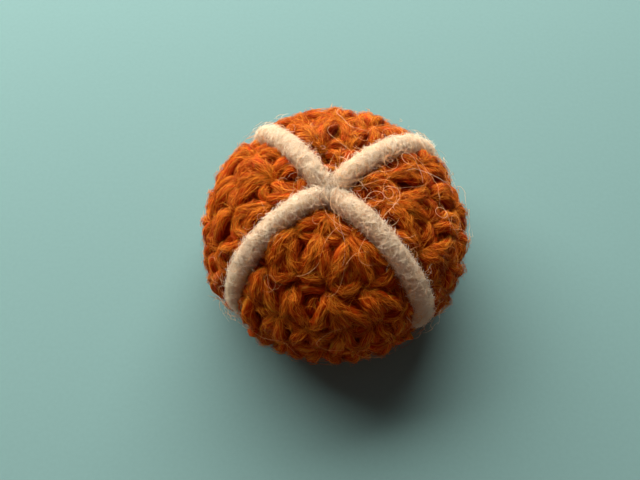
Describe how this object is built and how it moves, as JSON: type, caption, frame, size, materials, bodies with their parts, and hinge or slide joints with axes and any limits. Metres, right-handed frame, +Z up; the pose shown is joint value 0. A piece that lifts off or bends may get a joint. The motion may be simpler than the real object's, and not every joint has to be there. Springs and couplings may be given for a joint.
{
  "type": "crocheted toy bun",
  "caption": "Round stuffed crochet toy bun in orange-brown wool, with a domed top, a flat base and a cream yarn cross sewn over it.",
  "frame": {"origin": "middle of the base, on the surface that the bun stands on", "axes": "+Z up through the middle of the bun; two arms of the cross point towards -Y and two towards +Y"},
  "size_m": [0.0416, 0.0416, 0.0251],
  "materials": {
    "bun_wool": "fuzzy wool yarn, worked in single crochet",
    "cross_wool": "soft, thick, loosely spun wool yarn"
  },
  "bodies": {
    "root": {"bun_body": "bun_wool", "cross_arm_front_left": "cross_wool", "cross_arm_front_right": "cross_wool", "cross_arm_back_right": "cross_wool", "cross_arm_back_left": "cross_wool"}
  },
  "joints": []
}
